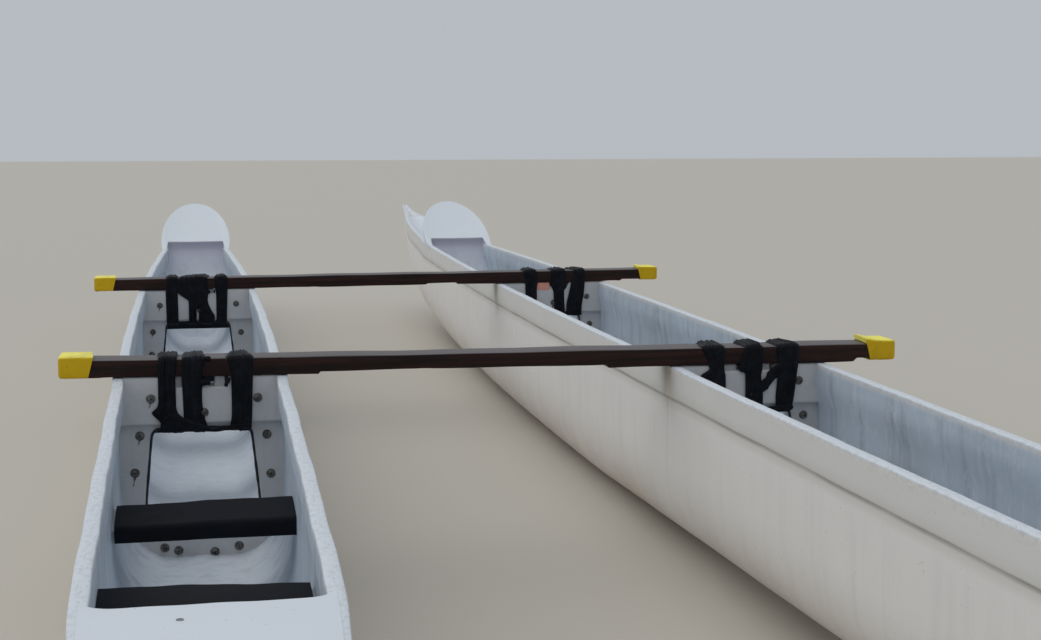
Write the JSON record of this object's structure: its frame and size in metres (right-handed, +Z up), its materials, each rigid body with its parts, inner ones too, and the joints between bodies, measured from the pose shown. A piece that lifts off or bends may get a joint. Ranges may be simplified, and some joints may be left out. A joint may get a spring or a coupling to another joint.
{
  "type": "double-hulled outrigger canoe",
  "caption": "Double-hulled paddling canoe: two long open glass-fibre hulls side by side, joined by flat wooden crossbeams lashed to their bulkheads.",
  "frame": {"origin": "middle of the bottom of the whole craft's box, on the ground under both keels", "axes": "+Y towards the bow, +X to starboard, +Z up"},
  "size_m": [2.797, 13.5, 0.9386],
  "materials": {
    "gelcoat": "weathered off-white gelcoat over glass fibre, scuffed and rain-streaked",
    "flange": "painted light grey glass fibre with rust-streaked bolt heads",
    "bench": "painted bluish-white glass fibre",
    "foam": "black closed-cell foam sheet, matt, lightly creased",
    "webbing": "wet black webbing and rubber strip",
    "timber": "dark red-brown stained hardwood, wet, worn grey on top",
    "cap": "yellow tape wrapped over the beam ends, creased and scuffed"
  },
  "bodies": {
    "root": {"hull_port_stern": "gelcoat", "hull_port_middle": "gelcoat", "hull_port_bow": "gelcoat", "deck_port_stern": "gelcoat", "deck_port_bow": "gelcoat", "splash_board_port": "gelcoat", "bulkhead_port_rear": "flange", "lashing_port_rear": "webbing", "bulkhead_port_front": "flange", "lashing_port_front": "webbing", "bench_port_1": "bench", "pad_port_1": "foam", "bench_port_2": "bench", "pad_port_2": "foam", "bench_port_3": "bench", "pad_port_3": "foam", "bench_port_4": "bench", "pad_port_4": "foam", "bench_port_5": "bench", "pad_port_5": "foam", "bench_port_6": "bench", "pad_port_6": "foam", "hull_starboard_stern": "gelcoat", "hull_starboard_middle": "gelcoat", "hull_starboard_bow": "gelcoat", "deck_starboard_stern": "gelcoat", "deck_starboard_bow": "gelcoat", "splash_board_starboard": "gelcoat", "bulkhead_starboard_rear": "flange", "lashing_starboard_rear": "webbing", "bulkhead_starboard_front": "flange", "lashing_starboard_front": "webbing", "bench_starboard_1": "bench", "pad_starboard_1": "foam", "bench_starboard_2": "bench", "pad_starboard_2": "foam", "bench_starboard_3": "bench", "pad_starboard_3": "foam", "bench_starboard_4": "bench", "pad_starboard_4": "foam", "bench_starboard_5": "bench", "pad_starboard_5": "foam", "bench_starboard_6": "bench", "pad_starboard_6": "foam", "crossbeam_rear": "timber", "cap_rear_port": "cap", "cap_rear_starboard": "cap", "crossbeam_front": "timber", "cap_front_port": "cap", "cap_front_starboard": "cap"}
  },
  "joints": []
}
